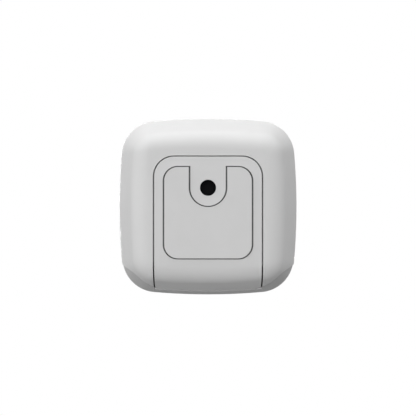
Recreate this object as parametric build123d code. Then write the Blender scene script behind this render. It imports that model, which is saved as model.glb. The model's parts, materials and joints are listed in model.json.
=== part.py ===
from build123d import *
from math import cos, radians, sin, sqrt, tan
import os

# A small wireless room sensor for a thermostat, which slides onto its own battery door on a wall.
# Millimetres. Everything is drawn about the middle of the body: x runs across, y is 0 on the wall and
# falls towards the room, and z runs up. At the end all is lifted so that z is 0 in the middle of the pad.

# Body outline, seen from behind
BODY_WIDTH = 43.0
BODY_HEIGHT = 42.6
SIDE_BOW_R = 150.0
CORNER_R = 8.4
WALL = 1.6

# Rear half, from the flat back to the widest section
BACK_Y = -0.5
BACK_INSET = 7.5
BACK_SHOULDER_R = 4.8
BACK_DRAFT = 20.0
WAIST_R = 11.0

# Front half, from the widest section to the crown of the face
CROWN_Y = -21.4
CROWN_R = 160.0
FRONT_SHOULDER_R = 5.5
FRONT_DRAFT = 8.0
FRONT_STEP = 0.2

# Line where the rear parts end above the chin of the front cover, from the bottom and from the side
CHIN_HEIGHT = 1.25
CHIN_KNEE = (8.2, 1.45)
CHIN_KNEE_R = 10.5
CHIN_SHOULDER = (3.9, 5.6)
CHIN_SHOULDER_R = 9.0
CHIN_EXIT = (-1.1, 8.35)
CHIN_GAP = 0.05

# Battery door, which is also the wall plate
DOOR_WIDTH = 25.25
DOOR_TOP = 11.78
DOOR_CORNER_R = 4.67
DOOR_SIDE_GAP = 0.33
DOOR_TOP_GAP = 0.22
DOOR_LIP_GAP = 0.25
DOOR_LIP = 0.5
SCREW_HOLE_R = 1.9
SCREW_HOLE_Z = 4.44

# Adhesive pad, seated in a shallow recess of the door
PAD_WIDTH = 20.54
PAD_TOP = 9.31
PAD_BOTTOM = -12.15
PAD_CORNER_R = 3.25
PAD_THICKNESS = 1.0
PAD_RECESS = 0.5
PAD_SIDE_GAP = 0.36
PAD_END_GAP = 0.25
PAD_NOTCH_R = 4.52

# Rails of the door and the ledges of the housing that run in them; each bottom inset is from the body's
# bottom edge and each top inset from the door's top edge
RAIL_WEB = 1.0
RAIL_FOOT = 2.7
RAIL_FOOT_THICKNESS = 1.1
RAIL_BOTTOM_INSET = 8.8
RAIL_TOP_INSET = 3.28
RAIL_GAP = 0.3
RAIL_SIDE_GAP = 0.365
LEDGE_THICKNESS = 1.2
LEDGE_BOTTOM_INSET = 6.9
LEDGE_TOP_INSET = 0.78
LEDGE_REACH = 1.95
BAY_WALL = 1.2

# Depths inside, all as gaps or thicknesses from the door towards the room
BAY_GAP = 0.4
HOOD_THICKNESS = 0.8
HOOD_GAP = 0.1
CELL_R = 10.0
CELL_THICKNESS = 3.2
CELL_Z = -4.5
CELL_CLEARANCE = 0.15
CELL_SHEET = 0.25
CELL_CAP_R = 8.9
CELL_EDGE_R = 0.35
CELL_CAP_EDGE_R = 0.12
CELL_STEP = 0.25
CONTACT_HEIGHT = 0.3
CONTACT_SHEET = 0.2
CONTACT_LENGTH = 10.0
CONTACT_WIDTH = 3.0
CONTACT_BUTTON_R = 1.5
CONTACT_LEG_WIDTH = 4.5
CONTACT_LIP = 0.85
CONTACT_FOOT = 0.6
HOLDER_WALL = 1.05
HOLDER_BASE = 0.8
HOOD_CHORD = 6.0
HOLDER_MOUTH = 9.0
BOARD_SIDE_INSET = 3.9
BOARD_END_INSET = 3.7
BOARD_CORNER_R = 5.0
BOARD_THICKNESS = 1.2

# Four screws join the rear housing, the board and the front cover
POST_SIDE_INSET = 2.115
POST_TOP_INSET = 3.18
POST_BOTTOM_INSET = 7.0
POST_R = 2.0
POST_HEIGHT = 3.6
SCREW_R = 0.8
SCREW_CLEARANCE = 0.15
SCREW_PILOT_CLEARANCE = 0.06
SCREW_BITE = 4.5
SCREW_END_GAP = 0.8
SCREW_HEAD_R = 1.5
SCREW_HEAD_HEIGHT = 1.0
SCREW_HEAD_EDGE_R = 0.33
SCREW_SLOT = 0.35
SCREW_SLOT_DEPTH = 0.5
BOSS_R = 2.1

# Lap between the two shells
LAP_THICKNESS = 0.8
LAP_CLEARANCE = 0.1
LAP_REACH = 1.2
LAP_ROOT = 1.6
LAP_BOTTOM_INSET = 8.7

# Motion sensor and its lens
LENS_Z = -4.0
LENS_R = 5.5
LENS_FLANGE = 1.6
LENS_FLANGE_THICKNESS = 0.8
LENS_RISE = 1.0
LENS_DOME_RISE = 1.7
LENS_SHEET = 0.7
LENS_CLEARANCE = 0.12
LENS_COLLAR = 1.0
LENS_SEAT_Y = -19.0
CLAMP_THICKNESS = 0.8
PIR_R = 4.05
PIR_HEIGHT = 3.3
PIR_SHEET = 0.25
PIR_FLANGE_R = 4.55
PIR_FLANGE_THICKNESS = 0.5
PIR_SPACER = 1.0
PIR_WINDOW = (4.4, 3.2)
PIR_WINDOW_RIM = 0.5
PIR_WINDOW_THICKNESS = 0.4
PIR_PIN_R = 0.225
PIR_PIN_CIRCLE_R = 2.54
PIR_PIN_CLEARANCE = 0.15

# Status light, below the lens
LIGHT_GAP = 1.08
LIGHT_R = 0.8
LIGHT_FLANGE_R = 1.3
LIGHT_FLANGE_THICKNESS = 0.6
LIGHT_FLANGE_GAP = 0.3
LIGHT_CLEARANCE = 0.05
LED_SIZE = (1.6, 0.8, 0.6)
LED_AIR = 0.3

# Pairing switch, above the cell's holder
SWITCH_X = -4.4
SWITCH_GAP = 0.45
SWITCH_SIZE = 4.5
SWITCH_HEIGHT = 3.4
SWITCH_SHEET = 0.2
SWITCH_WELL_R = 1.75
SWITCH_WELL_FLOOR = 0.8
BUTTON_R = 1.2
BUTTON_FLANGE_R = 1.6
BUTTON_FLANGE_THICKNESS = 0.7
BUTTON_RISE = 1.1
BUTTON_EDGE_R = 0.2
BUTTON_TRAVEL = 0.25
BUTTON_CLEARANCE = 0.1
DOME_R = 1.55
DOME_RISE = 0.4
DOME_SHEET = 0.12
DOME_GAP = 0.05

# Radio and other parts on the front of the board
SHIELD_SIZE = (12.0, 9.0, 2.0)
SHIELD_X = 0.0
SHIELD_Z = 7.0
SHIELD_SHEET = 0.2
CHIP_SIZE = (6.0, 6.0, 0.9)
CHIP_X = -2.2
CRYSTAL_SIZE = (2.5, 2.0, 0.7)
CRYSTAL_X = 3.6
ANTENNA_SIZE = (7.0, 2.0, 1.1)
ANTENNA_EDGE_GAP = 0.7
THERMISTOR_SIZE = (1.6, 0.8, 0.8)
THERMISTOR_X = 4.6
THERMISTOR_EDGE_GAP = 0.6
BULK_SIZE = (3.5, 2.8, 1.9)
BULK_X = 9.4
BULK_Z = -1.0
SMALL_PART_SIZE = (1.6, 0.8, 0.8)
SMALL_PART_COUNT = 5
SMALL_PART_PITCH = 1.9
SMALL_PART_X = -9.6
SMALL_PART_SPREAD = 2.6
SMALL_PART_Z = -3.5

# Vents under the front cover
VENT_COUNT = 7
VENT_PITCH = 1.9
VENT_WIDTH = 0.8
VENT_LENGTH = 2.6
VENT_GAP = 1.6

# Sizes and depths worked out from those above
FAR = 2 * BODY_WIDTH
HALF_W = BODY_WIDTH / 2
HALF_H = BODY_HEIGHT / 2
WAIST_DROP = WAIST_R * (1 - cos(radians(BACK_DRAFT)))
WAIST_RUN = WAIST_R * sin(radians(BACK_DRAFT))
SHOULDER_REACH = BACK_SHOULDER_R * cos(radians(BACK_DRAFT))
SHOULDER_DEPTH = BACK_SHOULDER_R * (1 - sin(radians(BACK_DRAFT)))
SLOPE_RUN = (BACK_INSET - SHOULDER_REACH - WAIST_DROP) / tan(radians(BACK_DRAFT))
WAIST_Y = BACK_Y - SHOULDER_DEPTH - SLOPE_RUN - WAIST_RUN
LIP_Y = WAIST_Y + WAIST_RUN + (CHIN_HEIGHT - WAIST_DROP) / tan(radians(BACK_DRAFT)) - DOOR_LIP
DOOR_IN_Y = BACK_Y - WALL
OPENING_X = DOOR_WIDTH / 2 + DOOR_SIDE_GAP
LEDGE_X = OPENING_X - LEDGE_REACH
LEDGE_BOTTOM = LEDGE_BOTTOM_INSET - HALF_H
LEDGE_TOP = DOOR_TOP - LEDGE_TOP_INSET
LEDGE_REAR_Y = DOOR_IN_Y - RAIL_GAP
RAIL_X = LEDGE_X - RAIL_SIDE_GAP - RAIL_WEB
RAIL_BOTTOM = RAIL_BOTTOM_INSET - HALF_H
RAIL_TOP = DOOR_TOP - RAIL_TOP_INSET
FOOT_REAR_Y = LEDGE_REAR_Y - LEDGE_THICKNESS - RAIL_GAP
FOOT_FRONT_Y = FOOT_REAR_Y - RAIL_FOOT_THICKNESS
HOLDER_REAR_Y = FOOT_FRONT_Y - BAY_GAP
CELL_REAR_Y = HOLDER_REAR_Y - HOOD_THICKNESS - HOOD_GAP
CELL_FRONT_Y = CELL_REAR_Y - CELL_THICKNESS
HOLDER_FLOOR_Y = CELL_FRONT_Y - CONTACT_HEIGHT
HOLDER_R = CELL_R + CELL_CLEARANCE + HOLDER_WALL
BOARD_REAR_Y = HOLDER_FLOOR_Y - HOLDER_BASE
BOARD_FRONT_Y = BOARD_REAR_Y - BOARD_THICKNESS
BOARD_WIDTH = BODY_WIDTH - 2 * BOARD_SIDE_INSET
BOARD_HEIGHT = BODY_HEIGHT - 2 * BOARD_END_INSET
POST_X = OPENING_X - POST_SIDE_INSET
POST_TOP_Z = DOOR_TOP - POST_TOP_INSET
POST_BOTTOM_Z = POST_BOTTOM_INSET - HALF_H
POST_REAR_Y = BOARD_REAR_Y + POST_HEIGHT
HEAD_REAR_Y = POST_REAR_Y + SCREW_HEAD_HEIGHT
PIR_REAR_Y = BOARD_FRONT_Y - PIR_SPACER
CAN_REAR_Y = PIR_REAR_Y - PIR_FLANGE_THICKNESS
CAN_FRONT_Y = CAN_REAR_Y - PIR_HEIGHT
COLLAR_R = LENS_R + LENS_FLANGE + LENS_CLEARANCE
CLAMP_REAR_Y = LENS_SEAT_Y + LENS_FLANGE_THICKNESS + CLAMP_THICKNESS
LIGHT_Z = LENS_Z - COLLAR_R - LENS_COLLAR - LIGHT_GAP - LIGHT_FLANGE_R
SWITCH_Z = CELL_Z + HOLDER_R + SWITCH_GAP + SWITCH_SIZE / 2
SWITCH_REAR_Y = BOARD_REAR_Y + SWITCH_HEIGHT
WELL_FLOOR_Y = BOARD_REAR_Y + SWITCH_WELL_FLOOR
DOME_TOP_Y = WELL_FLOOR_Y + DOME_RISE
BUTTON_FRONT_Y = DOME_TOP_Y + BUTTON_TRAVEL + DOME_GAP
PAD_MID_Z = (PAD_TOP + PAD_BOTTOM) / 2


# Drawing helpers


def facing(y):
    """A drawing plane at depth y that faces the room: x across, z up."""
    return Plane(origin=(0, y, 0), x_dir=(1, 0, 0), z_dir=(0, -1, 0))


def layer(sketch, rear_y, front_y):
    """The sketch as a slab from rear_y forward to front_y."""
    return extrude(facing(rear_y) * sketch, rear_y - front_y)


def rod(x, z, radius, rear_y, front_y):
    """A round bar along y."""
    return layer(Pos(x, z) * Circle(radius), rear_y, front_y)


def block(x, z, size, rear_y):
    """A box of size (width, height, depth) standing forward from rear_y, centred on x and z."""
    return layer(Pos(x, z) * Rectangle(size[0], size[1]), rear_y, rear_y - size[2])


def both_sides(shape):
    """The shape and its mirror image across the middle, in one piece."""
    return shape + mirror(shape, about=Plane.YZ)


def post_places():
    """Where the four screws go, as (x, z)."""
    return [(x, z) for x in (-POST_X, POST_X) for z in (POST_BOTTOM_Z, POST_TOP_Z)]


# The body form


def bowed_square(half_w, half_h, inset):
    """A square with bowed sides and round corners, drawn in by inset."""
    bow_r = SIDE_BOW_R - inset
    round_r = CORNER_R - inset
    side_off = SIDE_BOW_R - half_w
    top_off = SIDE_BOW_R - half_h
    reach = SIDE_BOW_R - CORNER_R
    span = sqrt(side_off**2 + top_off**2)
    rise = sqrt(reach**2 - span**2 / 4)
    corner = Vector(top_off * rise / span - side_off / 2, side_off * rise / span - top_off / 2)
    to_side = (corner + Vector(side_off, 0)).normalized()
    to_top = (corner + Vector(0, top_off)).normalized()
    side_end = corner + to_side * round_r
    top_end = corner + to_top * round_r
    mid = corner + (to_side + to_top).normalized() * round_r
    arcs = []
    for across in (1, -1):
        arcs.append(
            ThreePointArc(
                (across * side_end.X, -side_end.Y),
                (across * (bow_r - side_off), 0),
                (across * side_end.X, side_end.Y),
            )
        )
        arcs.append(
            ThreePointArc(
                (-top_end.X, across * top_end.Y),
                (0, across * (bow_r - top_off)),
                (top_end.X, across * top_end.Y),
            )
        )
        for up in (1, -1):
            arcs.append(
                ThreePointArc(
                    (across * side_end.X, up * side_end.Y),
                    (across * mid.X, up * mid.Y),
                    (across * top_end.X, up * top_end.Y),
                )
            )
    return make_face(arcs)


def rolled_form(section, half_w, half_h, inset, core_inset, depth):
    """The section carried round the outline at the waist, with its middle filled to the same depth."""
    outline = bowed_square(half_w, half_h, inset)
    ring = sweep(section, path=(facing(WAIST_Y) * outline).wires()[0])
    core = bowed_square(half_w, half_h, core_inset)
    return ring + layer(core, max(WAIST_Y, WAIST_Y + depth), min(WAIST_Y, WAIST_Y + depth))


def rear_form(half_w, half_h, inset):
    """The rear half of the body as a solid, drawn in by inset on every side but the waist."""
    edge = half_w - inset
    waist_r = WAIST_R - inset
    shoulder_r = BACK_SHOULDER_R - inset
    depth = BACK_Y - inset - WAIST_Y
    draft = radians(BACK_DRAFT)
    waist_mid = draft / 2
    shoulder_mid = (draft + radians(90)) / 2
    slope_start = (edge - waist_r * (1 - cos(draft)), WAIST_Y + waist_r * sin(draft))
    shoulder_x = half_w - BACK_INSET
    shoulder_y = WAIST_Y + depth - shoulder_r
    slope_end = (shoulder_x + shoulder_r * cos(draft), shoulder_y + shoulder_r * sin(draft))
    core_inset = (BACK_INSET + CORNER_R) / 2
    core_x = half_w - core_inset
    waist = ThreePointArc(
        (edge, WAIST_Y),
        (edge - waist_r * (1 - cos(waist_mid)), WAIST_Y + waist_r * sin(waist_mid)),
        slope_start,
    )
    slope = Line(slope_start, slope_end)
    shoulder = ThreePointArc(
        slope_end,
        (shoulder_x + shoulder_r * cos(shoulder_mid), shoulder_y + shoulder_r * sin(shoulder_mid)),
        (shoulder_x, WAIST_Y + depth),
    )
    rest = Polyline(
        (shoulder_x, WAIST_Y + depth), (core_x, WAIST_Y + depth), (core_x, WAIST_Y), (edge, WAIST_Y)
    )
    section = make_face([waist, slope, shoulder] + rest.edges())
    return rolled_form(section, half_w, half_h, inset, core_inset, depth)


def front_form(inset):
    """The front half of the body as a solid with a crowned face, drawn in by inset."""
    half_w = HALF_W - FRONT_STEP
    half_h = HALF_H - FRONT_STEP / 2
    edge = half_w - inset
    waist_r = WAIST_R - inset
    draft = radians(FRONT_DRAFT)
    depth = CROWN_Y - WAIST_Y
    slope_start = (edge - waist_r * (1 - cos(draft)), WAIST_Y - waist_r * sin(draft))
    slope_drop = (WAIST_Y + depth - slope_start[1]) * tan(draft)
    slope_end = (slope_start[0] + slope_drop, WAIST_Y + depth)
    core_inset = (BACK_INSET + CORNER_R) / 2
    core_x = half_w - core_inset
    waist = ThreePointArc(
        (edge, WAIST_Y),
        (edge - waist_r * (1 - cos(draft / 2)), WAIST_Y - waist_r * sin(draft / 2)),
        slope_start,
    )
    rest = Polyline(slope_start, slope_end, (core_x, slope_end[1]), (core_x, WAIST_Y), (edge, WAIST_Y))
    section = make_face([waist] + rest.edges())
    blank = rolled_form(section, half_w, half_h, inset, core_inset, depth)
    crowned = blank & Pos(0, CROWN_Y + CROWN_R, 0) * Sphere(CROWN_R - inset)
    rim = crowned.faces().filter_by(GeomType.SPHERE)[0].edges()
    return Pos(0, 0, -FRONT_STEP / 2) * fillet(rim, FRONT_SHOULDER_R - inset)


def rod_to_face(x, z, radius, rear_y, form):
    """A round bar that starts behind the waist and ends on the face of the form."""
    front = rod(x, z, radius, WAIST_Y, -FAR) & form
    return front + rod(x, z, radius, rear_y, WAIST_Y)


def above_chin_line(drop):
    """Everything above the line where the rear parts end, with the line lowered by drop."""
    left_to_right = []
    radii = []
    exit_point = (HALF_W - CHIN_EXIT[0], CHIN_EXIT[1] - HALF_H - drop)
    shoulder = (HALF_W - CHIN_SHOULDER[0], CHIN_SHOULDER[1] - HALF_H - drop)
    knee = (HALF_W - CHIN_KNEE[0], CHIN_KNEE[1] - HALF_H - drop)
    left_to_right += [(-x, z) for x, z in (exit_point, shoulder, knee)]
    left_to_right += [(0, CHIN_HEIGHT - HALF_H - drop), knee, shoulder, exit_point]
    radii += [CHIN_SHOULDER_R, CHIN_KNEE_R, SIDE_BOW_R, CHIN_KNEE_R, CHIN_SHOULDER_R]
    line = FilletPolyline(*left_to_right, radius=radii)
    lid = Polyline(exit_point, (exit_point[0], FAR), (-exit_point[0], FAR), left_to_right[0])
    return layer(make_face(line.edges() + lid.edges()), FAR, -FAR)


def door_outline(side, top):
    """The door seen from behind, grown at its sides and top: round above, and running out below the body."""
    height = DOOR_TOP + top + HALF_H + BODY_HEIGHT
    sheet = RectangleRounded(DOOR_WIDTH + 2 * side, height, DOOR_CORNER_R + (side + top) / 2)
    return Pos(0, DOOR_TOP + top - height / 2) * sheet


# Wall side: the door and its pad


def pad_outline(side, end):
    """The pad seen from behind, with its notch round the screw hole, grown at its sides and ends."""
    height = PAD_TOP - PAD_BOTTOM
    sheet = RectangleRounded(PAD_WIDTH + 2 * side, height + 2 * end, PAD_CORNER_R + end)
    notch_r = PAD_NOTCH_R - side
    notch_z = SCREW_HOLE_Z - side + end
    round_end = Pos(0, notch_z) * Circle(notch_r)
    slot_height = PAD_TOP - notch_z + CORNER_R
    slot = Pos(0, notch_z + slot_height / 2) * Rectangle(2 * notch_r, slot_height)
    return Pos(0, PAD_MID_Z) * sheet - round_end - slot


def adhesive_pad():
    """Foam pad with adhesive on both faces, standing proud of the door."""
    rear_y = BACK_Y - PAD_RECESS + PAD_THICKNESS
    return layer(pad_outline(0, 0), rear_y, BACK_Y - PAD_RECESS)


def battery_door():
    """Door skin, with its lip round the bottom of the body, its rails and the wall screw's hole."""
    skin = rear_form(HALF_W, HALF_H, 0) - rear_form(HALF_W, HALF_H, WALL)
    skin &= layer(door_outline(0, 0), FAR, LIP_Y)
    skin &= above_chin_line(0)
    skin -= layer(pad_outline(PAD_SIDE_GAP, PAD_END_GAP), FAR, BACK_Y - PAD_RECESS)
    skin -= rod(0, SCREW_HOLE_Z, SCREW_HOLE_R, FAR, -FAR)
    rail_height = RAIL_TOP - RAIL_BOTTOM
    rail_z = (RAIL_TOP + RAIL_BOTTOM) / 2
    web = Pos(RAIL_X + RAIL_WEB / 2, rail_z) * Rectangle(RAIL_WEB, rail_height)
    foot = Pos(RAIL_X + RAIL_FOOT / 2, rail_z) * Rectangle(RAIL_FOOT, rail_height)
    rail = layer(web, DOOR_IN_Y, FOOT_FRONT_Y) + layer(foot, FOOT_REAR_Y, FOOT_FRONT_Y)
    return skin + both_sides(rail)


# Rear housing


def rear_housing():
    """Rear shell with its bay for the cell, ledges for the door's rails and posts for the screws."""
    shell = rear_form(HALF_W, HALF_H, 0) - rear_form(HALF_W, HALF_H, WALL)
    bay = layer(door_outline(DOOR_SIDE_GAP + BAY_WALL, DOOR_TOP_GAP + BAY_WALL), FAR, BOARD_REAR_Y)
    bay &= rear_form(HALF_W, HALF_H, WALL / 2)
    housing = shell + bay
    housing -= layer(door_outline(DOOR_SIDE_GAP, DOOR_TOP_GAP), FAR, -FAR)
    ledge_z = (LEDGE_TOP + LEDGE_BOTTOM) / 2
    ledge_width = LEDGE_REACH + BAY_WALL / 2
    ledge = Pos(LEDGE_X + ledge_width / 2, ledge_z) * Rectangle(ledge_width, LEDGE_TOP - LEDGE_BOTTOM)
    housing += both_sides(layer(ledge, LEDGE_REAR_Y, LEDGE_REAR_Y - LEDGE_THICKNESS))
    web_width = OPENING_X + BAY_WALL / 2 - POST_X
    for x, z in post_places():
        side = 1 if x > 0 else -1
        web = Pos(x + side * web_width / 2, z) * Rectangle(web_width, 2 * POST_R)
        housing += layer(web, POST_REAR_Y, BOARD_REAR_Y)
        housing += rod(x, z, POST_R, POST_REAR_Y, BOARD_REAR_Y)
        housing -= rod(x, z, SCREW_R + SCREW_CLEARANCE, POST_REAR_Y, BOARD_REAR_Y)
        housing -= rod(x, z, SCREW_HEAD_R + SCREW_CLEARANCE, FAR, POST_REAR_Y)
    return housing & above_chin_line(0)


def housing_screws():
    """Four screws with crossed slots, from the bay into the front cover."""
    screws = []
    for x, z in post_places():
        head = rod(x, z, SCREW_HEAD_R, HEAD_REAR_Y, POST_REAR_Y)
        head = fillet(head.edges().group_by(Axis.Y)[-1], SCREW_HEAD_EDGE_R)
        slot_length = 2 * (SCREW_HEAD_R - SCREW_SLOT)
        head -= block(x, z, (slot_length, SCREW_SLOT, SCREW_SLOT_DEPTH), HEAD_REAR_Y)
        head -= block(x, z, (SCREW_SLOT, slot_length, SCREW_SLOT_DEPTH), HEAD_REAR_Y)
        screws.append(head + rod(x, z, SCREW_R, POST_REAR_Y, BOARD_FRONT_Y - SCREW_BITE))
    return Compound(screws)


# Front cover


def chin():
    """The part of the front cover that wraps back under the body, below the door and the housing."""
    half_w = HALF_W - FRONT_STEP
    half_h = HALF_H - FRONT_STEP / 2
    shell = rear_form(half_w, half_h, 0) - rear_form(half_w, half_h, WALL)
    shell = Pos(0, 0, -FRONT_STEP / 2) * shell
    chin_rear_y = LIP_Y - DOOR_LIP_GAP
    lower_half = Pos(0, -FAR / 2)
    below = layer(Rectangle(2 * FAR, 2 * FAR), FAR, -FAR) - above_chin_line(CHIN_GAP)
    below -= layer(lower_half * Rectangle(2 * OPENING_X, FAR), FAR, chin_rear_y)
    below += layer(lower_half * Rectangle(DOOR_WIDTH, FAR), chin_rear_y, -FAR)
    return shell & below


def lap():
    """Rim on the front cover that reaches into the rear housing."""
    half_w = HALF_W - FRONT_STEP
    half_h = HALF_H - FRONT_STEP / 2
    outer = WALL + LAP_CLEARANCE
    rear_y = WAIST_Y + LAP_REACH
    tongue = layer(bowed_square(half_w, half_h, outer), rear_y, WAIST_Y - LAP_ROOT)
    root = layer(bowed_square(half_w, half_h, WALL / 2), WAIST_Y, WAIST_Y - LAP_ROOT)
    hollow = layer(bowed_square(half_w, half_h, outer + LAP_THICKNESS), FAR, -FAR)
    lap_bottom = LAP_BOTTOM_INSET - HALF_H
    upper = layer(Pos(0, FAR / 2 + lap_bottom) * Rectangle(2 * FAR, FAR), FAR, -FAR)
    return (tongue + root & front_form(WALL / 2) + tongue - hollow) & upper


def front_cover():
    """Crowned front shell with bosses for the screws, a seat for the lens, a chin and vents."""
    solid = front_form(WALL / 2)
    cover = front_form(0) - front_form(WALL) + chin() + lap()
    for x, z in post_places():
        cover += rod_to_face(x, z, BOSS_R, BOARD_FRONT_Y, solid)
    cover += rod(0, LENS_Z, COLLAR_R + LENS_COLLAR, CLAMP_REAR_Y, -FAR) & solid
    cover -= rod(0, LENS_Z, COLLAR_R, FAR, LENS_SEAT_Y)
    cover -= rod(0, LENS_Z, LENS_R + LENS_CLEARANCE, FAR, -FAR)
    cover -= rod(0, LIGHT_Z, LIGHT_R + LIGHT_CLEARANCE, FAR, -FAR)
    pilot_r = SCREW_R + SCREW_PILOT_CLEARANCE
    pilot_end_y = BOARD_FRONT_Y - SCREW_BITE - SCREW_END_GAP
    for x, z in post_places():
        cover -= rod(x, z, pilot_r, BOARD_FRONT_Y, pilot_end_y)
    for i in range(VENT_COUNT):
        x = (i - (VENT_COUNT - 1) / 2) * VENT_PITCH
        size = (VENT_WIDTH, HALF_H, VENT_LENGTH)
        cover -= block(x, -HALF_H, size, WAIST_Y - VENT_GAP)
    return cover


# Cell, its holder and its contacts


def battery_holder():
    """Round tray for the coin cell, with a hood over its top edge and a mouth at the bottom."""
    tray = rod(0, CELL_Z, HOLDER_R, HOLDER_REAR_Y, BOARD_REAR_Y)
    tray -= rod(0, CELL_Z, CELL_R + CELL_CLEARANCE, FAR, HOLDER_FLOOR_Y)
    hood = rod(0, CELL_Z, HOLDER_R, HOLDER_REAR_Y, HOLDER_REAR_Y - HOOD_THICKNESS)
    keep = Pos(0, CELL_Z + HOOD_CHORD + HOLDER_R / 2) * Rectangle(3 * HOLDER_R, HOLDER_R)
    hood &= layer(keep, FAR, -FAR)
    mouth = Pos(0, CELL_Z - HOLDER_R) * Rectangle(HOLDER_MOUTH, HOLDER_R)
    return tray + hood - layer(mouth, FAR, HOLDER_FLOOR_Y)


def cell_can():
    """Outer cup of the coin cell, its flat face to the rear."""
    cup = rod(0, CELL_Z, CELL_R, CELL_REAR_Y, CELL_FRONT_Y + CELL_STEP)
    cup = fillet(cup.edges().group_by(Axis.Y)[-1], CELL_EDGE_R)
    return cup - rod(0, CELL_Z, CELL_R - CELL_SHEET, CELL_REAR_Y - CELL_SHEET, -FAR)


def cell_gasket():
    """Ring that keeps the cell's two cups apart."""
    ring = rod(0, CELL_Z, CELL_R - CELL_SHEET, CELL_REAR_Y - CELL_SHEET, CELL_FRONT_Y + CELL_STEP)
    return ring - rod(0, CELL_Z, CELL_CAP_R, FAR, -FAR)


def cell_cap():
    """Inner cup of the coin cell with what it holds, its face to the board."""
    cap = rod(0, CELL_Z, CELL_CAP_R, CELL_REAR_Y - CELL_SHEET, CELL_FRONT_Y)
    return fillet(cap.edges().group_by(Axis.Y)[0], CELL_CAP_EDGE_R)


def negative_contact():
    """Flat strip on the holder's floor with a raised button under the cell."""
    outline = Pos(0, CELL_Z) * SlotOverall(CONTACT_LENGTH, CONTACT_WIDTH)
    strip = layer(outline, HOLDER_FLOOR_Y + CONTACT_SHEET, HOLDER_FLOOR_Y)
    return strip + rod(0, CELL_Z, CONTACT_BUTTON_R, CELL_FRONT_Y, HOLDER_FLOOR_Y)


def positive_contact():
    """Bent strip at the holder's mouth, with its lip over the cell's edge."""
    leg_z = CELL_Z - CELL_R - CELL_CLEARANCE - CONTACT_SHEET / 2
    lip_y = CELL_REAR_Y + HOOD_GAP + CONTACT_SHEET
    foot_y = HOLDER_FLOOR_Y + CONTACT_SHEET
    leg_size = (CONTACT_LEG_WIDTH, CONTACT_SHEET, lip_y - HOLDER_FLOOR_Y)
    lip_size = (CONTACT_LEG_WIDTH, CONTACT_SHEET + CONTACT_LIP, CONTACT_SHEET)
    foot_size = (CONTACT_LEG_WIDTH, CONTACT_SHEET + CONTACT_FOOT, CONTACT_SHEET)
    leg = block(0, leg_z, leg_size, lip_y)
    lip = block(0, leg_z + CONTACT_LIP / 2, lip_size, lip_y)
    foot = block(0, leg_z - CONTACT_FOOT / 2, foot_size, foot_y)
    return leg + lip + foot


# Circuit board and what is soldered to it


def pin_places():
    """Where the motion sensor's three pins go, as (x, z)."""
    turns = [radians(90 + 120 * i) for i in range(3)]
    return [(PIR_PIN_CIRCLE_R * cos(t), LENS_Z + PIR_PIN_CIRCLE_R * sin(t)) for t in turns]


def circuit_board():
    """Board with round corners and holes for the screws and the motion sensor's pins."""
    sheet = RectangleRounded(BOARD_WIDTH, BOARD_HEIGHT, BOARD_CORNER_R)
    for x, z in post_places():
        sheet -= Pos(x, z) * Circle(SCREW_R + SCREW_CLEARANCE)
    for x, z in pin_places():
        sheet -= Pos(x, z) * Circle(PIR_PIN_R + PIR_PIN_CLEARANCE)
    return layer(sheet, BOARD_REAR_Y, BOARD_FRONT_Y)


def pir_spacer():
    """Ring that holds the motion sensor off the board."""
    ring = rod(0, LENS_Z, PIR_FLANGE_R, BOARD_FRONT_Y, PIR_REAR_Y)
    for x, z in pin_places():
        ring -= rod(x, z, PIR_PIN_R + PIR_PIN_CLEARANCE, FAR, -FAR)
    return ring


def pir_base():
    """Round metal base of the motion sensor."""
    return rod(0, LENS_Z, PIR_FLANGE_R, PIR_REAR_Y, CAN_REAR_Y)


def pir_can():
    """Metal can of the motion sensor, with an oblong opening for its window."""
    can = rod(0, LENS_Z, PIR_R, CAN_REAR_Y, CAN_FRONT_Y)
    can = fillet(can.edges().group_by(Axis.Y)[0], PIR_SHEET)
    can -= rod(0, LENS_Z, PIR_R - PIR_SHEET, CAN_REAR_Y, CAN_FRONT_Y + PIR_SHEET)
    return can - block(0, LENS_Z, (*PIR_WINDOW, PIR_HEIGHT), CAN_REAR_Y - PIR_HEIGHT / 2)


def pir_window():
    """Dark filter behind the can's opening."""
    width, height = [side + 2 * PIR_WINDOW_RIM for side in PIR_WINDOW]
    size = (width, height, PIR_WINDOW_THICKNESS)
    return block(0, LENS_Z, size, CAN_FRONT_Y + PIR_SHEET + PIR_WINDOW_THICKNESS)


def pir_pins():
    """Three pins from the motion sensor's base into the board."""
    end_y = BOARD_REAR_Y - PIR_PIN_CLEARANCE
    return Compound([rod(x, z, PIR_PIN_R, end_y, PIR_REAR_Y) for x, z in pin_places()])


def status_led():
    """Light on the board behind the light pipe."""
    return block(0, LIGHT_Z, LED_SIZE, BOARD_FRONT_Y)


def switch_base():
    """Square body of the pairing switch, with a round well for its button."""
    size = (SWITCH_SIZE, SWITCH_SIZE, SWITCH_HEIGHT)
    base = block(SWITCH_X, SWITCH_Z, size, SWITCH_REAR_Y)
    return base - rod(SWITCH_X, SWITCH_Z, SWITCH_WELL_R, FAR, WELL_FLOOR_Y)


def switch_plate():
    """Thin metal plate that keeps the button in the switch."""
    size = (SWITCH_SIZE, SWITCH_SIZE, SWITCH_SHEET)
    plate = block(SWITCH_X, SWITCH_Z, size, SWITCH_REAR_Y + SWITCH_SHEET)
    return plate - rod(SWITCH_X, SWITCH_Z, BUTTON_R + BUTTON_CLEARANCE, FAR, -FAR)


def switch_dome():
    """Snap dome on the floor of the switch's well."""
    ball_r = (DOME_R**2 + DOME_RISE**2) / (2 * DOME_RISE)
    place = Pos(SWITCH_X, DOME_TOP_Y - ball_r, SWITCH_Z)
    shell = place * Sphere(ball_r) - place * Sphere(ball_r - DOME_SHEET)
    return shell & rod(SWITCH_X, SWITCH_Z, DOME_R, FAR, WELL_FLOOR_Y)


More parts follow.
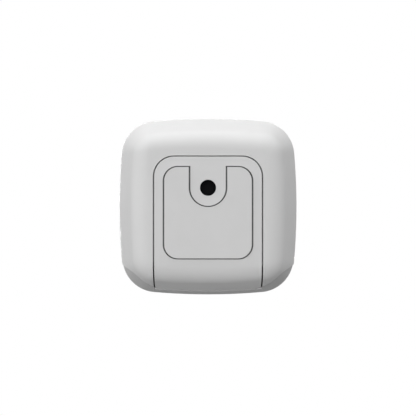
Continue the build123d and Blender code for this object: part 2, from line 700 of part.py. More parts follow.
def pairing_button():
    """Round button with a flange that the switch's plate holds in."""
    flange_rear_y = BUTTON_FRONT_Y + BUTTON_FLANGE_THICKNESS
    top_y = SWITCH_REAR_Y + SWITCH_SHEET + BUTTON_RISE
    stem = rod(SWITCH_X, SWITCH_Z, BUTTON_R, top_y, BUTTON_FRONT_Y)
    stem = fillet(stem.edges().group_by(Axis.Y)[-1], BUTTON_EDGE_R)
    return stem + rod(SWITCH_X, SWITCH_Z, BUTTON_FLANGE_R, flange_rear_y, BUTTON_FRONT_Y)


def radio_shield():
    """Open box of sheet metal over the radio chip and its crystal."""
    inner = [size - 2 * SHIELD_SHEET for size in SHIELD_SIZE[:2]]
    can = block(SHIELD_X, SHIELD_Z, SHIELD_SIZE, BOARD_FRONT_Y)
    return can - block(SHIELD_X, SHIELD_Z, (*inner, SHIELD_SIZE[2] - SHIELD_SHEET), BOARD_FRONT_Y)


def radio_chip():
    """Radio and processor under the shield."""
    return block(SHIELD_X + CHIP_X, SHIELD_Z, CHIP_SIZE, BOARD_FRONT_Y)


def crystal():
    """Timing crystal beside the radio chip."""
    return block(SHIELD_X + CRYSTAL_X, SHIELD_Z, CRYSTAL_SIZE, BOARD_FRONT_Y)


def chip_antenna():
    """Ceramic antenna at the top edge of the board."""
    z = BOARD_HEIGHT / 2 - ANTENNA_EDGE_GAP - ANTENNA_SIZE[1] / 2
    return block(0, z, ANTENNA_SIZE, BOARD_FRONT_Y)


def thermistor():
    """Temperature sensor at the bottom edge of the board, beside the vents."""
    z = THERMISTOR_EDGE_GAP + THERMISTOR_SIZE[1] / 2 - BOARD_HEIGHT / 2
    return block(THERMISTOR_X, z, THERMISTOR_SIZE, BOARD_FRONT_Y)


def bulk_capacitor():
    """Large capacitor that feeds the radio's bursts."""
    return block(BULK_X, BULK_Z, BULK_SIZE, BOARD_FRONT_Y)


def small_parts(column):
    """A column of small parts on the board."""
    x = SMALL_PART_X + column * SMALL_PART_SPREAD
    parts = []
    for i in range(SMALL_PART_COUNT):
        z = SMALL_PART_Z + i * SMALL_PART_PITCH
        parts.append(block(x, z, SMALL_PART_SIZE, BOARD_FRONT_Y))
    return Compound(parts)


# Lens and light pipe of the front cover


def pir_lens():
    """Domed lens with a flange behind the front cover."""
    ball_r = (LENS_R**2 + LENS_DOME_RISE**2) / (2 * LENS_DOME_RISE)
    place = Pos(0, CROWN_Y - LENS_RISE + ball_r, LENS_Z)
    flange_rear_y = LENS_SEAT_Y + LENS_FLANGE_THICKNESS
    lens = rod(0, LENS_Z, LENS_R, LENS_SEAT_Y, -FAR) & place * Sphere(ball_r)
    lens += rod(0, LENS_Z, LENS_R + LENS_FLANGE, flange_rear_y, LENS_SEAT_Y)
    bore_r = LENS_R - LENS_SHEET
    hollow = rod(0, LENS_Z, bore_r, LENS_SEAT_Y, -FAR) & place * Sphere(ball_r - LENS_SHEET)
    return lens - hollow - rod(0, LENS_Z, bore_r, flange_rear_y, LENS_SEAT_Y)


def lens_clamp():
    """Ring pressed in behind the lens's flange."""
    ring = rod(0, LENS_Z, LENS_R + LENS_FLANGE, CLAMP_REAR_Y, CLAMP_REAR_Y - CLAMP_THICKNESS)
    return ring - rod(0, LENS_Z, LENS_R - LENS_SHEET, FAR, -FAR)


def light_pipe():
    """Clear rod from the light to the face of the front cover."""
    rear_y = BOARD_FRONT_Y - LED_SIZE[2] - LED_AIR
    pipe = rod_to_face(0, LIGHT_Z, LIGHT_R, rear_y, front_form(0))
    drop = CROWN_R - sqrt(CROWN_R**2 - (LIGHT_Z + FRONT_STEP / 2) ** 2)
    front_y = CROWN_Y + drop + WALL + LIGHT_FLANGE_GAP
    return pipe + rod(0, LIGHT_Z, LIGHT_FLANGE_R, front_y + LIGHT_FLANGE_THICKNESS, front_y)


PARTS = {
    "adhesive_pad": adhesive_pad,
    "battery_door": battery_door,
    "rear_housing": rear_housing,
    "front_cover": front_cover,
    "housing_screws": housing_screws,
    "battery_holder": battery_holder,
    "cell_can": cell_can,
    "cell_gasket": cell_gasket,
    "cell_cap": cell_cap,
    "negative_contact": negative_contact,
    "positive_contact": positive_contact,
    "circuit_board": circuit_board,
    "pir_spacer": pir_spacer,
    "pir_base": pir_base,
    "pir_can": pir_can,
    "pir_window": pir_window,
    "pir_pins": pir_pins,
    "pir_lens": pir_lens,
    "lens_clamp": lens_clamp,
    "light_pipe": light_pipe,
    "status_led": status_led,
    "switch_base": switch_base,
    "switch_plate": switch_plate,
    "switch_dome": switch_dome,
    "pairing_button": pairing_button,
    "radio_shield": radio_shield,
    "radio_chip": radio_chip,
    "crystal": crystal,
    "chip_antenna": chip_antenna,
    "thermistor": thermistor,
    "bulk_capacitor": bulk_capacitor,
    "chip_capacitors": lambda: small_parts(0),
    "chip_resistors": lambda: small_parts(1),
}

os.makedirs("parts", exist_ok=True)
for name, build in PARTS.items():
    export_step(Pos(0, 0, -PAD_MID_Z) * build(), f"parts/{name}.step")
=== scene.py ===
import json
from math import cos, pi, radians, sin, sqrt

import bmesh
import bpy
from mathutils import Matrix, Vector


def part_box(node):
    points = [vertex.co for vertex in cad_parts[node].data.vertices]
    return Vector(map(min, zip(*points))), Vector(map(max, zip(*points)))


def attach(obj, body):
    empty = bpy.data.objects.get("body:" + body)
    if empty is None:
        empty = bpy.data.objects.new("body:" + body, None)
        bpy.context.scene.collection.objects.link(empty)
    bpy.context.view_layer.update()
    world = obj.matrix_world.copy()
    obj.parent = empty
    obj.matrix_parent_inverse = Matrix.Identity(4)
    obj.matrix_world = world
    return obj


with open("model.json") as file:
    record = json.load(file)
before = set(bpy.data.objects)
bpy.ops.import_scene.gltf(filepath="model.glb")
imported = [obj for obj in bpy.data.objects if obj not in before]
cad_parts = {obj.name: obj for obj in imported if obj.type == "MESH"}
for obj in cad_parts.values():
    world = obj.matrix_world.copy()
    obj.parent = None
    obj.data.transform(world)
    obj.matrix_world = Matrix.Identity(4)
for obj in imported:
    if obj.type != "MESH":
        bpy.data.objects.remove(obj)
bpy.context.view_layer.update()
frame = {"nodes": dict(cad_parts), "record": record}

# The back of a small wireless room sensor, hung in front of a camera on a plain white ground.
# Sizes are in metres where nothing else is said.
MM = 0.001
MICRON = 1e-6

# White to look at: this colour at this strength
WHITE = (1, 1, 1, 1)
WHITE_STRENGTH = 1.0

# Camera, straight behind the sensor, level and facing its back. Its focal length and the width of its
# chip are in millimetres.
CAMERA_DISTANCE = 0.3795
CAMERA_HEIGHT = 0.0011
CAMERA_TURN = (radians(90), 0, radians(180))
CAMERA_LENS = 140.07
CAMERA_SENSOR = 36.0

# Light: soft boxes as (name, place, power, whether glossy surfaces mirror it), all aimed at the sensor,
# and the world around. Surfaces that face the camera mirror the white ground there, not a lamp.
LAMP_SIZE = 0.50
LAMPS = (
    ("top_box", (0.0, 0.0, 0.85), 3.6, True),
    ("top_left_box", (0.60, 0.0, 0.60), 1.95, True),
    ("top_right_box", (-0.60, 0.0, 0.60), 2.15, True),
    ("left_box", (0.83, 0.17, 0.0), 1.45, True),
    ("left_rear_box", (0.60, 0.60, 0.08), 1.4, True),
    ("camera_box", (0.0, 0.84, 0.03), 4.9, False),
    ("front_box", (0.08, -0.84, 0.0), 4.9, True),
)
WORLD_LIGHT = 0.20

# Floor, well below the sensor. Its paint sends little light back, and the lift adds what it lacks to look
# white. It keeps a shadow near the sensor and is plain white further out.
FLOOR_Z = -0.070
FLOOR_HALF = 2.0
FLOOR_COLOUR = 0.20
FLOOR_ROUGHNESS = 0.9
FLOOR_GLOSS = 0.0
FLOOR_LIFT = 0.76
FLOOR_SHADE_NEAR = 0.070
FLOOR_SHADE_FAR = 0.115

# The part of a noise's range that carries its whole effect
NOISE_LOW = 0.3
NOISE_HIGH = 0.7

# Painted shade: the colour is darkened in narrow gaps and at the foot of raised edges, where shade falls.
# The surroundings that count reach as far as the depth. Where no more than the closed share of them is
# open, only the kept share of the colour is left.
PAINTED_SHADE_DEPTH = 0.6 * MM
PAINTED_SHADE_CLOSED = 0.3
PAINTED_SHADE_KEPT = 0.02
PAINTED_SHADE_SAMPLES = 8

# The open share of the surroundings below which a finish gets painted shade. The door has a higher one than
# the rest of the shell, so that a painted shadow lies round the pad, which stands proud of it.
PAINTED_SHADE_OPEN = {"shell_plastic": 0.42, "door_plastic_pad_shade": 0.8, "pad_foam": 0.9, "screw_steel": 0.75}

# Nodes with another finish than their material slot's. The door's is the shell's plastic with a painted
# shadow round the pad.
NODE_FINISH = {"battery_door": "door_plastic_pad_shade"}

# Values that several finishes share
SHELL_COLOUR = (0.64, 0.64, 0.64)
SATIN_GLOSS = 0.12
CLEAR_IOR = 1.49

# Steps round a full circle
ROUND_STEPS = 32

# Corners of a box's sides, where the corners are counted along z first, then y, then x
BOX_SIDES = ((0, 1, 3, 2), (4, 6, 7, 5), (0, 4, 5, 1), (2, 3, 7, 6), (0, 2, 6, 4), (1, 5, 7, 3))

# Moulded facets of the motion sensor's lens, in rings of (outer radius, number of facets). Their edges
# stand off the dome, and their middles bulge further. The one in the lens's middle is a full circle and has
# more steps round.
FACET_RINGS = ((1.3 * MM, 1), (3.3 * MM, 7), (5.3 * MM, 14))
FACET_BULGE = 0.09 * MM
FACET_EDGE = 0.03 * MM
FACET_STEPS = 8
MIDDLE_FACET_STEPS = 48
FACET_WELD = 0.001 * MM
LENS_DOME_R = 5.5 * MM
LENS_DOME_RISE = 1.7 * MM

# Tracks on the rear of the circuit board as lines of (x, z) in millimetres, each with a via at its end,
# and test pads
TRACKS = (
    ((-2.15, 12.4), (3.2, 12.4), (4.4, 11.2), (7.6, 11.2)),
    ((-2.15, 9.3), (-0.9, 9.3), (0.3, 10.5), (3.4, 10.5)),
    ((5.2, 9.5), (6.4, 9.5), (7.5, 8.4), (8.5, 8.4), (9.6, 7.3), (9.6, 4.4)),
    ((-6.4, 8.9), (-7.0, 8.9), (-9.5, 6.4), (-9.5, 4.4)),
)
TRACK_WIDTH = 0.3 * MM
TRACK_THICKNESS = 0.035 * MM
TEST_PADS = ((5.7, 12.7), (7.4, 12.7), (5.2, 9.5), (-7.6, 12.5))
TEST_PAD_R = 0.5 * MM
VIA_R = 0.35 * MM
VIA_HOLE_R = 0.15 * MM
TINNED_THICKNESS = 2 * TRACK_THICKNESS

# Small parts on the board's front with tinned ends: nodes that hold a row of them, and nodes of one
SMALL_PART_ROWS = ("chip_capacitors", "chip_resistors")
SMALL_PARTS = ("bulk_capacitor", "thermistor", "chip_antenna", "status_led")
SMALL_PART_COUNT = 5
SMALL_PART_HEIGHT = 0.8 * MM
TERMINAL_LENGTH = 0.35 * MM
TERMINAL_SKIN = 0.02 * MM

# Ring and plus sign etched on the cell
PLUS_LENGTH = 3.6 * MM
PLUS_WIDTH = 0.5 * MM
PLUS_Z = -3.2 * MM
PLUS_ARMS = 4
CELL_RING_R = 7.4 * MM
CELL_RING_WIDTH = 0.25 * MM
CELL_RING_STEPS = 96
STAMP_HEIGHT = 0.04 * MM


# Materials


def add_node(nodes, kind, values=None):
    """Add a node and set the sockets that values names."""
    node = nodes.new(kind)
    for socket, value in (values or {}).items():
        node.inputs[socket].default_value = value
    return node


class Finish:
    """A node material whose colour, roughness and bump vary over the surface."""

    def __init__(self, name, colour, roughness, metal=0.0):
        self.name = name
        self.colour = colour
        self.roughness = roughness
        self.material = bpy.data.materials.new(f"{name}_finish")
        self.material.use_nodes = True
        self.nodes = self.material.node_tree.nodes
        self.links = self.material.node_tree.links
        self.shader = self.nodes["Principled BSDF"]
        self.put("Metallic", metal)
        self.put("Roughness", roughness)
        self.put("Base Color", (*colour, 1))
        self.place = add_node(self.nodes, "ShaderNodeTexCoord").outputs["Object"]
        self.last_bump = None

    def put(self, socket, value):
        """Set one of the shader's sockets."""
        self.shader.inputs[socket].default_value = value

    def noise(self, size, detail=3.0, stretch=(1, 1, 1)):
        """A noise of about the given size, over coordinates scaled by stretch, as a factor."""
        mapping = add_node(self.nodes, "ShaderNodeMapping", {"Scale": stretch})
        self.links.new(self.place, mapping.inputs["Vector"])
        node = add_node(self.nodes, "ShaderNodeTexNoise", {"Scale": 1 / size, "Detail": detail})
        self.links.new(mapping.outputs["Vector"], node.inputs["Vector"])
        return node.outputs["Fac"]

    def cells(self, size):
        """A pattern of cells of about the given size, as a factor that falls to 0 at their edges."""
        node = add_node(self.nodes, "ShaderNodeTexVoronoi", {"Scale": 1 / size})
        node.feature = "DISTANCE_TO_EDGE"
        self.links.new(self.place, node.inputs["Vector"])
        return node.outputs["Distance"]

    def vary_colour(self, factor, share):
        """Let the colour differ by share of its value either way."""
        ramp = add_node(self.nodes, "ShaderNodeValToRGB")
        ends = ramp.color_ramp.elements
        for end, position, scale in ((ends[0], NOISE_LOW, 1 - share), (ends[1], NOISE_HIGH, 1 + share)):
            end.position = position
            end.color = (*[min(c * scale, 1) for c in self.colour], 1)
        self.links.new(factor, ramp.inputs["Fac"])
        self.links.new(ramp.outputs["Color"], self.shader.inputs["Base Color"])

    def vary_roughness(self, factor, step):
        """Let the roughness differ by step either way."""
        limits = {
            "From Min": NOISE_LOW,
            "From Max": NOISE_HIGH,
            "To Min": self.roughness - step,
            "To Max": self.roughness + step,
        }
        spread = add_node(self.nodes, "ShaderNodeMapRange", limits)
        self.links.new(factor, spread.inputs["Value"])
        self.links.new(spread.outputs["Result"], self.shader.inputs["Roughness"])

    def bump(self, factor, depth):
        """Raise the surface by up to depth, on top of earlier bumps."""
        node = add_node(self.nodes, "ShaderNodeBump", {"Strength": 1.0, "Distance": depth})
        self.links.new(factor, node.inputs["Height"])
        if self.last_bump:
            self.links.new(self.last_bump, node.inputs["Normal"])
        self.last_bump = node.outputs["Normal"]
        self.links.new(self.last_bump, self.shader.inputs["Normal"])

    def paint_gap_shade(self, open_share):
        """Paint shade into the colour: darken it where less than open_share of the surroundings is open."""
        near = add_node(self.nodes, "ShaderNodeAmbientOcclusion", {"Distance": PAINTED_SHADE_DEPTH})
        near.samples = PAINTED_SHADE_SAMPLES
        limits = {"From Min": PAINTED_SHADE_CLOSED, "From Max": open_share, "To Min": PAINTED_SHADE_KEPT}
        spread = add_node(self.nodes, "ShaderNodeMapRange", limits)
        self.links.new(near.outputs["AO"], spread.inputs["Value"])
        painted_shade = add_node(self.nodes, "ShaderNodeVectorMath")
        painted_shade.operation = "SCALE"
        shader_colour = self.shader.inputs["Base Color"]
        self.links.new(shader_colour.links[0].from_socket, painted_shade.inputs[0])
        self.links.new(spread.outputs["Result"], painted_shade.inputs["Scale"])
        self.links.new(painted_shade.outputs["Vector"], shader_colour)


def moulded(name, colour, roughness, grain=0.12 * MM, depth=0.6 * MICRON, gloss=0.5):
    """Plastic from a fine spark-eroded mould, with slightly uneven gloss."""
    finish = Finish(name, colour, roughness)
    finish.put("Specular IOR Level", gloss)
    finish.vary_colour(finish.noise(size=9 * MM), share=0.012)
    finish.vary_roughness(finish.noise(size=4 * MM), step=0.03)
    finish.bump(finish.noise(grain, detail=4.0), depth)
    return finish


def sheet_metal(name, colour, roughness, stretch):
    """Rolled or drawn metal, with fine lines along the way that stretch scales down."""
    finish = Finish(name, colour, roughness, metal=1.0)
    finish.vary_colour(finish.noise(size=1.5 * MM), share=0.05)
    finish.vary_roughness(finish.noise(size=0.4 * MM, detail=4.0, stretch=stretch), step=0.07)
    finish.bump(finish.noise(size=0.12 * MM, stretch=stretch), depth=1.0 * MICRON)
    return finish


def foam_tape(name, colour, roughness):
    """Closed-cell foam pad under a thin satin film."""
    finish = Finish(name, colour, roughness)
    finish.put("Specular IOR Level", SATIN_GLOSS)
    finish.vary_colour(finish.noise(size=5 * MM), share=0.012)
    finish.vary_roughness(finish.noise(size=1.2 * MM), step=0.04)
    finish.bump(finish.cells(size=0.35 * MM), depth=1.2 * MICRON)
    finish.bump(finish.noise(size=0.1 * MM), depth=0.6 * MICRON)
    return finish


def solder_mask(name, colour):
    """Green solder mask over a woven laminate, whose threads run along z and along x."""
    finish = Finish(name, colour, roughness=0.3)
    finish.vary_colour(finish.noise(size=0.5 * MM, detail=2.0, stretch=(1, 1, 0.25)), share=0.14)
    finish.vary_roughness(finish.noise(size=2 * MM), step=0.06)
    for stretch in ((1, 1, 0.2), (0.2, 1, 1)):
        finish.bump(finish.noise(size=0.45 * MM, detail=1.0, stretch=stretch), depth=4 * MICRON)
    return finish


def milky_lens(name, colour, roughness):
    """Milky polyethylene that lets some light in."""
    finish = Finish(name, colour, roughness)
    finish.vary_colour(finish.noise(size=2 * MM), share=0.02)
    finish.vary_roughness(finish.noise(size=0.6 * MM), step=0.05)
    finish.bump(finish.noise(size=0.2 * MM), depth=0.8 * MICRON)
    finish.put("Subsurface Weight", 0.35)
    finish.put("Subsurface Radius", (1.0, 1.0, 0.9))
    finish.put("Subsurface Scale", 0.8 * MM)
    return finish


def clear(name, colour, roughness, transmission):
    """Smooth plastic or resin with faint flow lines, as clear as transmission says."""
    finish = Finish(name, colour, roughness)
    finish.vary_colour(finish.noise(size=1.0 * MM), share=0.04)
    finish.vary_roughness(finish.noise(size=0.5 * MM), step=0.03)
    finish.bump(finish.noise(size=0.8 * MM), depth=0.6 * MICRON)
    finish.put("Transmission Weight", transmission)
    finish.put("IOR", CLEAR_IOR)
    return finish


def fired(name, colour, roughness):
    """Fired ceramic with a fine speckle."""
    finish = Finish(name, colour, roughness)
    finish.vary_colour(finish.noise(size=0.08 * MM, detail=4.0), share=0.12)
    finish.vary_roughness(finish.noise(size=0.3 * MM), step=0.06)
    finish.bump(finish.noise(size=0.06 * MM), depth=1.5 * MICRON)
    return finish


def make_finishes():
    """Every finish by its name: one for each material slot, one for the door with a painted shadow round
    the pad, and two for added pieces.
    """
    finishes = (
        moulded("shell_plastic", SHELL_COLOUR, roughness=0.5, gloss=SATIN_GLOSS),
        # The door's plastic is the shell's, with more painted shade, a painted shadow round the pad
        moulded("door_plastic_pad_shade", SHELL_COLOUR, roughness=0.5, gloss=SATIN_GLOSS),
        # Painted shade: the cover is the shell's plastic in a darker grey, standing in for the shade on its
        # lower corners
        moulded("cover_plastic", colour=(0.5, 0.5, 0.5), roughness=0.5, gloss=SATIN_GLOSS),
        foam_tape("pad_foam", colour=(0.635, 0.635, 0.635), roughness=0.52),
        moulded(
            "holder_plastic",
            colour=(0.008, 0.008, 0.009),
            roughness=0.6,
            grain=0.1 * MM,
            depth=1.5 * MICRON,
            gloss=0.1,
        ),
        moulded(
            "spacer_plastic",
            colour=(0.68, 0.67, 0.63),
            roughness=0.45,
            grain=0.1 * MM,
            depth=1.2 * MICRON,
        ),
        moulded(
            "button_plastic",
            colour=(0.025, 0.025, 0.027),
            roughness=0.4,
            grain=0.08 * MM,
            depth=1.5 * MICRON,
        ),
        moulded(
            "chip_plastic",
            colour=(0.022, 0.022, 0.024),
            roughness=0.55,
            grain=0.05 * MM,
            depth=2 * MICRON,
        ),
        milky_lens("lens_plastic", colour=(0.82, 0.82, 0.8), roughness=0.34),
        clear("clear_plastic", colour=(0.9, 0.92, 0.93), roughness=0.12, transmission=0.9),
        clear("filter_dark", colour=(0.03, 0.022, 0.03), roughness=0.08, transmission=0.0),
        clear("led_body", colour=(0.85, 0.83, 0.62), roughness=0.2, transmission=0.35),
        solder_mask("board_laminate", colour=(0.012, 0.11, 0.045)),
        solder_mask("track_mask", colour=(0.03, 0.2, 0.085)),
        sheet_metal("screw_steel", colour=(0.6, 0.6, 0.59), roughness=0.38, stretch=(1, 1, 1)),
        sheet_metal("cell_steel", colour=(0.68, 0.68, 0.67), roughness=0.36, stretch=(0.15, 1, 1)),
        sheet_metal("cell_fill", colour=(0.62, 0.62, 0.61), roughness=0.36, stretch=(0.15, 1, 1)),
        sheet_metal("etched_steel", colour=(0.27, 0.27, 0.27), roughness=0.55, stretch=(1, 1, 1)),
        sheet_metal("contact_metal", colour=(0.75, 0.68, 0.52), roughness=0.28, stretch=(1, 1, 0.2)),
        sheet_metal("can_metal", colour=(0.66, 0.65, 0.62), roughness=0.4, stretch=(0.25, 1, 1)),
        fired("antenna_ceramic", colour=(0.78, 0.76, 0.7), roughness=0.45),
        fired("capacitor_body", colour=(0.42, 0.3, 0.18), roughness=0.5),
    )
    by_name = {finish.name: finish for finish in finishes}
    # Painted shade in the gaps and at the raised edges of these finishes
    for name, open_share in PAINTED_SHADE_OPEN.items():
        by_name[name].paint_gap_shade(open_share)
    return by_name


FINISHES = make_finishes()


def dress_nodes():
    """Give every carried-over part the finish of its material slot, or its own where it has one."""
    for part in frame["record"]["subparts"]:
        finish = FINISHES[NODE_FINISH.get(part["node"], part["material_slot"])]
        for slot in frame["nodes"][part["node"]].material_slots:
            slot.material = finish.material


# Pieces


def add_object(name, data):
    """Put a new object with the given data into the scene."""
    added = bpy.data.objects.new(name, data)
    bpy.context.scene.collection.objects.link(added)
    return added


def add_mesh_object(name, mesh):
    """Put a new object with the bmesh's faces into the scene."""
    data = bpy.data.meshes.new(name)
    mesh.to_mesh(data)
    mesh.free()
    return add_object(name, data)


def add_piece(name, mesh, slot, body, finish=None):
    """Turn the bmesh into a piece that rides on the body and has the slot's finish, or the named one."""
    bmesh.ops.recalc_face_normals(mesh, faces=mesh.faces)
    piece = add_mesh_object(name, mesh)
    piece.data.materials.append(FINISHES[finish or slot].material)
    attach(piece, body)
    return piece


def box_mesh(mesh, low, high):
    """Add a closed box between two corners to the bmesh."""
    corners = []
    for x in (low[0], high[0]):
        for y in (low[1], high[1]):
            corners += [mesh.verts.new((x, y, z)) for z in (low[2], high[2])]
    for side in BOX_SIDES:
        mesh.faces.new([corners[i] for i in side])


def prism_mesh(mesh, outline, front_y, rear_y):
    """Add a closed prism along y, with the outline given as (x, z), to the bmesh."""
    front = [mesh.verts.new((x, front_y, z)) for x, z in outline]
    rear = [mesh.verts.new((x, rear_y, z)) for x, z in outline]
    mesh.faces.new(front)
    mesh.faces.new(rear[::-1])
    for i in range(len(outline)):
        j = (i + 1) % len(outline)
        mesh.faces.new((front[i], rear[i], rear[j], front[j]))


def ring_mesh(mesh, x, z, inner_r, outer_r, front_y, rear_y, steps=ROUND_STEPS):
    """Add a closed ring round (x, z), from front_y to rear_y, to the bmesh."""
    profile = ((inner_r, front_y), (outer_r, front_y), (outer_r, rear_y), (inner_r, rear_y))
    turned = []
    for i in range(steps):
        turn = 2 * pi * i / steps
        turned.append([mesh.verts.new((x + r * cos(turn), y, z + r * sin(turn))) for r, y in profile])
    for here, there in zip(turned, turned[1:] + turned[:1]):
        for j in range(len(profile)):
            k = (j + 1) % len(profile)
            mesh.faces.new((here[j], there[j], there[k], here[k]))


def grid_mesh(mesh, rows):
    """Add the faces between rows of points to the bmesh."""
    grid = [[mesh.verts.new(point) for point in row] for row in rows]
    for here, there in zip(grid, grid[1:]):
        for j in range(len(here) - 1):
            mesh.faces.new((here[j], there[j], there[j + 1], here[j + 1]))


def strip_outline(points, width):
    """The outline of a strip of the given width along the points, mitred at its turns."""
    sides = {1: [], -1: []}
    for i, point in enumerate(points):
        arriving = (point - points[max(i - 1, 0)]).normalized()
        leaving = (points[min(i + 1, len(points) - 1)] - point).normalized()
        along = (arriving + leaving).normalized()
        straight = along.dot(leaving if i == 0 else arriving)
        across = Vector((-along.y, along.x)) * width / (2 * straight)
        for side, line in sides.items():
            line.append(point + side * across)
    return sides[1] + sides[-1][::-1]


def circle_outline(x, z, radius):
    """The outline of a disk round (x, z)."""
    turns = [2 * pi * i / ROUND_STEPS for i in range(ROUND_STEPS)]
    return [(x + radius * cos(turn), z + radius * sin(turn)) for turn in turns]


def plus_outline(x, z):
    """The outline of the plus sign round (x, z)."""
    arm = PLUS_LENGTH / 2
    half = PLUS_WIDTH / 2
    corners = [(half, arm), (half, half), (arm, half)]
    outline = []
    for _ in range(PLUS_ARMS):
        outline += [(x + right, z + up) for right, up in corners]
        corners = [(up, -right) for right, up in corners]
    return outline


def arch(share):
    """The height of an arch, 0 at its ends and 1 in its middle, at a share of its span."""
    return 1 - (2 * share - 1) ** 2


def facet_rows(inner_r, outer_r, sector, count):
    """Rows of (radius, turn, height) of one facet in a ring of count facets, with heights from 0 to 1."""
    turn_from = 2 * pi * (sector - 0.5) / count
    turn_to = 2 * pi * (sector + 0.5) / count
    steps_round = MIDDLE_FACET_STEPS if count == 1 else FACET_STEPS
    rows = []
    for i in range(FACET_STEPS + 1):
        across = i / FACET_STEPS
        radius = inner_r + (outer_r - inner_r) * across
        row = []
        for j in range(steps_round + 1):
            around = j / steps_round
            height = 1 - across**2 if count == 1 else arch(across) * arch(around)
            row.append((radius, turn_from + (turn_to - turn_from) * around, height))
        rows.append(row)
    return rows


def lens_facets():
    """Moulded facets on the dome of the lens: each one is a shallow bulge of its own."""
    low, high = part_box("pir_lens")
    mid_z = (low.z + high.z) / 2
    ball_r = (LENS_DOME_R**2 + LENS_DOME_RISE**2) / (2 * LENS_DOME_RISE)

    def on_dome(radius, turn, height):
        """The place of a facet's point."""
        surface = sqrt(ball_r**2 - radius**2)
        y = low.y + ball_r - surface - FACET_EDGE - FACET_BULGE * height
        return radius * cos(turn), y, mid_z + radius * sin(turn)

    mesh = bmesh.new()
    inner_r = 0.0
    for outer_r, count in FACET_RINGS:
        for sector in range(count):
            rows = facet_rows(inner_r, outer_r, sector, count)
            grid_mesh(mesh, [[on_dome(*point) for point in row] for row in rows])
        inner_r = outer_r
    bmesh.ops.remove_doubles(mesh, verts=mesh.verts, dist=FACET_WELD)
    piece = add_piece("lens_facets", mesh, "lens_plastic", "sensor_body")
    for face in piece.data.polygons:
        face.use_smooth = True


def board_tracks():
    """Tracks under the solder mask of the board's rear, beside the cell's holder."""
    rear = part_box("circuit_board")[1].y
    mesh = bmesh.new()
    for track in TRACKS:
        points = [Vector(point) * MM for point in track]
        prism_mesh(mesh, strip_outline(points, TRACK_WIDTH), rear, rear + TRACK_THICKNESS)
    add_piece("board_tracks", mesh, "board_laminate", "sensor_body", finish="track_mask")


def board_vias():
    """Tinned vias at the ends of the tracks, and test pads."""
    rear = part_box("circuit_board")[1].y
    top = rear + TINNED_THICKNESS
    mesh = bmesh.new()
    for track in TRACKS:
        x, z = Vector(track[-1]) * MM
        ring_mesh(mesh, x, z, VIA_HOLE_R, VIA_R, rear, top)
    for pad in TEST_PADS:
        x, z = Vector(pad) * MM
        prism_mesh(mesh, circle_outline(x, z, TEST_PAD_R), rear, top)
    add_piece("board_vias", mesh, "contact_metal", "sensor_body")


def terminals_mesh(mesh, low, high):
    """Add both tinned ends of the small part between two corners to the bmesh."""
    for end in (low[0], high[0] - TERMINAL_LENGTH):
        corner_low = (end - TERMINAL_SKIN, low[1] - TERMINAL_SKIN, low[2] - TERMINAL_SKIN)
        corner_high = (end + TERMINAL_LENGTH + TERMINAL_SKIN, high[1], high[2] + TERMINAL_SKIN)
        box_mesh(mesh, corner_low, corner_high)


def part_terminals():
    """Tinned ends of the small parts on the board's front."""
    mesh = bmesh.new()
    for node in SMALL_PART_ROWS:
        low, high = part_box(node)
        pitch = (high.z - low.z - SMALL_PART_HEIGHT) / (SMALL_PART_COUNT - 1)
        for i in range(SMALL_PART_COUNT):
            bottom = low.z + i * pitch
            top = bottom + SMALL_PART_HEIGHT
            terminals_mesh(mesh, (low.x, low.y, bottom), (high.x, high.y, top))
    for node in SMALL_PARTS:
        low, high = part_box(node)
        terminals_mesh(mesh, low, high)
    add_piece("part_terminals", mesh, "can_metal", "sensor_body")


def cell_stamp():
    """The ring and the plus sign etched on a coin cell's flat face."""
    low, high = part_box("cell_can")
    mid_z = (low.z + high.z) / 2
    rear = high.y
    top = rear + STAMP_HEIGHT
    outer_r = CELL_RING_R + CELL_RING_WIDTH
    mesh = bmesh.new()
    ring_mesh(mesh, 0, mid_z, CELL_RING_R, outer_r, rear, top, CELL_RING_STEPS)
    prism_mesh(mesh, plus_outline(0, mid_z + PLUS_Z), rear, top)
    add_piece("cell_stamp", mesh, "cell_steel", "sensor_body", finish="etched_steel")


# Surroundings


def seen_directly(nodes, links):
    """1 where a ray comes from the camera, or by a mirror or through glass, and 0 elsewhere."""
    path = add_node(nodes, "ShaderNodeLightPath")
    total = path.outputs["Is Camera Ray"]
    for ray in ("Is Glossy Ray", "Is Transmission Ray"):
        either = add_node(nodes, "ShaderNodeMath")
        either.operation = "MAXIMUM"
        links.new(total, either.inputs[0])
        links.new(path.outputs[ray], either.inputs[1])
        total = either.outputs[0]
    return total


def far_from_middle(nodes, links):
    """0 on the floor near the sensor, 1 far from it, and an even rise between."""
    place = add_node(nodes, "ShaderNodeTexCoord")
    flat = add_node(nodes, "ShaderNodeVectorMath")
    flat.operation = "MULTIPLY"
    flat.inputs[1].default_value = (1, 1, 0)
    links.new(place.outputs["Object"], flat.inputs[0])
    reach = add_node(nodes, "ShaderNodeVectorMath")
    reach.operation = "LENGTH"
    links.new(flat.outputs["Vector"], reach.inputs[0])
    limits = {"From Min": FLOOR_SHADE_NEAR, "From Max": FLOOR_SHADE_FAR}
    fade = add_node(nodes, "ShaderNodeMapRange", limits)
    links.new(reach.outputs["Value"], fade.inputs["Value"])
    return fade.outputs["Result"]


def mixed(nodes, links, factor, first, second):
    """The first shader where the factor is 0, the second where it is 1."""
    mix = add_node(nodes, "ShaderNodeMixShader")
    links.new(factor, mix.inputs["Fac"])
    links.new(first.outputs[0], mix.inputs[1])
    links.new(second.outputs[0], mix.inputs[2])
    return mix


def make_world():
    """White to look at, and a plain pale light on the object."""
    world = bpy.data.worlds.new("studio")
    world.use_nodes = True
    bpy.context.scene.world = world
    nodes = world.node_tree.nodes
    links = world.node_tree.links
    lit = nodes["Background"]
    lit.inputs["Color"].default_value = WHITE
    lit.inputs["Strength"].default_value = WORLD_LIGHT
    white = add_node(nodes, "ShaderNodeBackground", {"Color": WHITE, "Strength": WHITE_STRENGTH})
    mix = mixed(nodes, links, seen_directly(nodes, links), lit, white)
    links.new(mix.outputs[0], nodes["World Output"].inputs["Surface"])


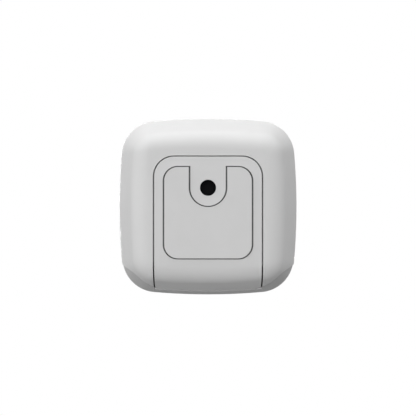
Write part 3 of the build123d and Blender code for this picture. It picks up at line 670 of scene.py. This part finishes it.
def floor_material():
    """White to look at apart from the sensor's shadow, and darker for the light it sends back."""
    material = bpy.data.materials.new("floor")
    material.use_nodes = True
    nodes = material.node_tree.nodes
    links = material.node_tree.links
    paint = nodes["Principled BSDF"]
    paint.inputs["Base Color"].default_value = (FLOOR_COLOUR, FLOOR_COLOUR, FLOOR_COLOUR, 1)
    paint.inputs["Roughness"].default_value = FLOOR_ROUGHNESS
    paint.inputs["Specular IOR Level"].default_value = FLOOR_GLOSS
    lift = add_node(nodes, "ShaderNodeEmission", {"Strength": FLOOR_LIFT})
    shaded = add_node(nodes, "ShaderNodeAddShader")
    links.new(paint.outputs[0], shaded.inputs[0])
    links.new(lift.outputs[0], shaded.inputs[1])
    white = add_node(nodes, "ShaderNodeEmission", {"Strength": WHITE_STRENGTH})
    seen = mixed(nodes, links, far_from_middle(nodes, links), shaded, white)
    mix = mixed(nodes, links, seen_directly(nodes, links), paint, seen)
    links.new(mix.outputs[0], nodes["Material Output"].inputs["Surface"])
    return material


def make_floor():
    """A plain white floor that keeps the sensor's shadow."""
    mesh = bmesh.new()
    corners = [(x * FLOOR_HALF, y * FLOOR_HALF, FLOOR_Z) for x, y in ((-1, -1), (1, -1), (1, 1), (-1, 1))]
    mesh.faces.new([mesh.verts.new(corner) for corner in corners])
    floor = add_mesh_object("floor", mesh)
    floor.data.materials.append(floor_material())


def make_lamp(name, place, power, mirrored):
    """A round soft box that points at the sensor."""
    light = bpy.data.lights.new(name, "AREA")
    light.shape = "DISK"
    light.size = LAMP_SIZE
    light.energy = power
    lamp = add_object(name, light)
    lamp.location = place
    lamp.visible_glossy = mirrored
    lamp.rotation_euler = (-Vector(place)).to_track_quat("-Z", "Y").to_euler()


def make_camera():
    """The photograph's view, square on to the sensor's back."""
    data = bpy.data.cameras.new("camera")
    data.lens = CAMERA_LENS
    data.sensor_width = CAMERA_SENSOR
    camera = add_object("camera", data)
    camera.location = (0, CAMERA_DISTANCE, CAMERA_HEIGHT)
    camera.rotation_euler = CAMERA_TURN
    bpy.context.scene.camera = camera


dress_nodes()
lens_facets()
board_tracks()
board_vias()
part_terminals()
cell_stamp()

make_world()
make_floor()
for lamp in LAMPS:
    make_lamp(*lamp)
make_camera()
bpy.context.scene.view_settings.view_transform = "Standard"
